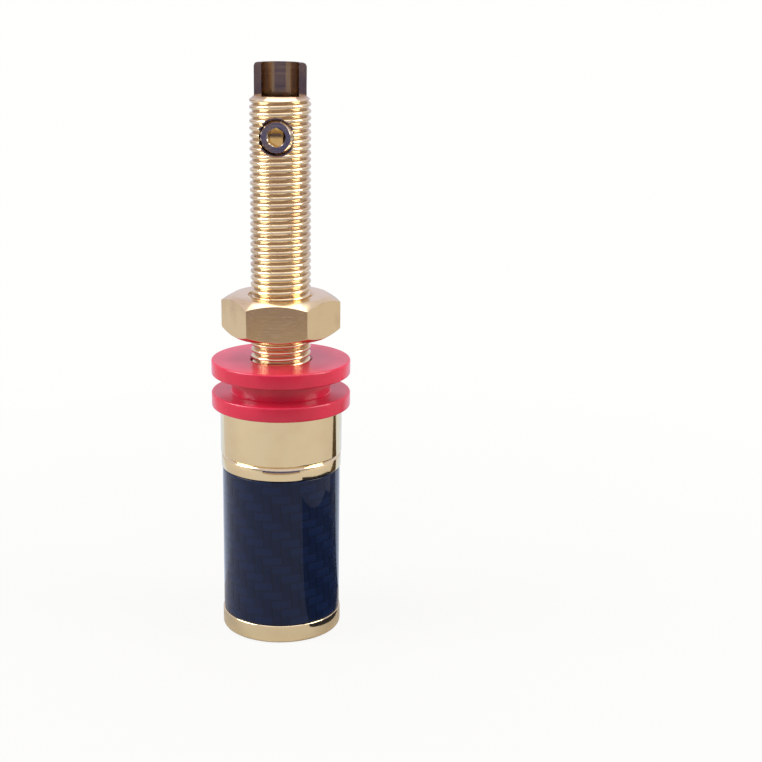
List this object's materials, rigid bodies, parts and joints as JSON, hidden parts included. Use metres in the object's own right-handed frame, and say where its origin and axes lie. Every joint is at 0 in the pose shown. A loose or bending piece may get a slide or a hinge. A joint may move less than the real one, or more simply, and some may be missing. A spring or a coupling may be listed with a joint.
{
  "type": "binding post",
  "caption": "Long-tail panel binding post with a screw-down knob, clamping ring, insulators, hexagon nut, solder cup and wire grub screw.",
  "frame": {"origin": "centre of the knob's nose face, on the surface that the post stands on", "axes": "+Z along the stud from the knob's nose to the solder cup; the cup's opening and the grub screw face -Y"},
  "size_m": [0.021, 0.021, 0.0865],
  "materials": {
    "gold_plate": "polished gold plate on turned copper alloy",
    "gold_thread": "gold plate on a cut thread",
    "gold_nut": "gold plate over drawn flats with fine lines",
    "carbon": "woven carbon fibre under clear lacquer",
    "red_plastic": "turned red plastic with a soft gloss",
    "gold_screw": "gold plate, darker in the socket"
  },
  "bodies": {
    "post": {"stud": "gold_thread", "front_bushing": "red_plastic"},
    "ring": {"pressure_ring": "gold_plate"},
    "knob": {"knob_core": "gold_plate", "carbon_sleeve": "carbon"},
    "washer": {"rear_washer": "red_plastic"},
    "nut": {"mounting_nut": "gold_nut"},
    "screw": {"grub_screw": "gold_screw"}
  },
  "joints": [
    {"name": "ring_travel", "type": "slide", "parent": "post", "child": "ring", "axis": [0, 0, -1], "range_m": [0, 0.0161]},
    {"name": "knob_turn", "type": "hinge", "parent": "ring", "child": "knob", "pos_m": [0, 0, 0], "axis": [0, 0, -1], "range_deg": [0, 5760]},
    {"name": "washer_slide", "type": "slide", "parent": "post", "child": "washer", "axis": [0, 0, 1], "range_m": [0, 0.048]},
    {"name": "nut_travel", "type": "slide", "parent": "washer", "child": "nut", "axis": [0, 0, 1], "range_m": [-0.0037, 0.042]},
    {"name": "screw_travel", "type": "slide", "parent": "post", "child": "screw", "axis": [0, -1, 0], "range_m": [-0.0012, 0.0027]}
  ],
  "couplings": [
    {"joint": "ring_travel", "follows": "knob_turn", "m_per_rad": 0.00015915}
  ]
}
